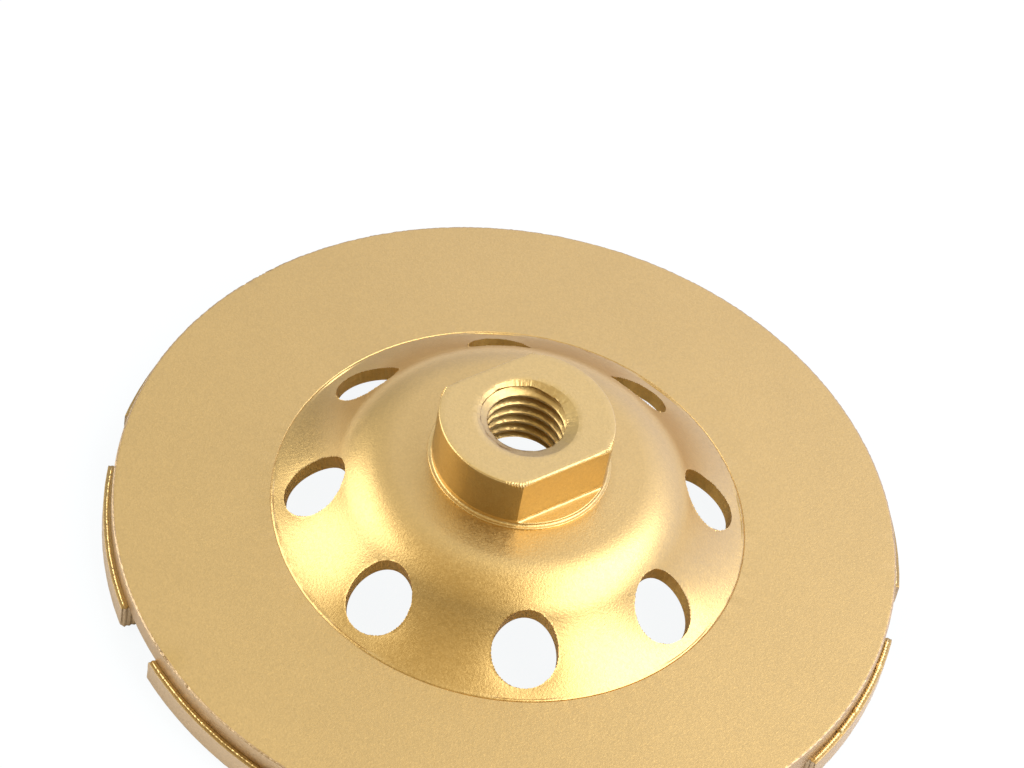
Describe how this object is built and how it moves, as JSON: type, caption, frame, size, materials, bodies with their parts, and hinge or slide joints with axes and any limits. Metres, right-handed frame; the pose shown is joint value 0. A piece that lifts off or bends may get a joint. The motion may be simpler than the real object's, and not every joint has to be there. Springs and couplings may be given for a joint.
{
  "type": "diamond cup wheel",
  "caption": "Single-row diamond cup wheel: a flanged steel dome with dust holes, diamond segments under its rim and a threaded hub with spanner flats.",
  "frame": {"origin": "on the wheel's axis in the plane of the segments' grinding faces", "axes": "+Z along the wheel's axis, from the grinding faces towards the hub; +Y and -Y square to the hub's spanner flats"},
  "size_m": [0.1244, 0.1244, 0.0303],
  "materials": {
    "body_paint": "fine metallic gold paint on blasted steel, satin",
    "hub_paint": "fine metallic gold paint on turned steel, satin",
    "segment_bond": "sintered metal bond under a thin coat of gold paint, matt"
  },
  "bodies": {
    "root": {"cup_body": "body_paint", "spindle_hub": "hub_paint", "segment_01": "segment_bond", "segment_02": "segment_bond", "segment_03": "segment_bond", "segment_04": "segment_bond", "segment_05": "segment_bond", "segment_06": "segment_bond", "segment_07": "segment_bond", "segment_08": "segment_bond", "segment_09": "segment_bond", "segment_10": "segment_bond"}
  },
  "joints": []
}
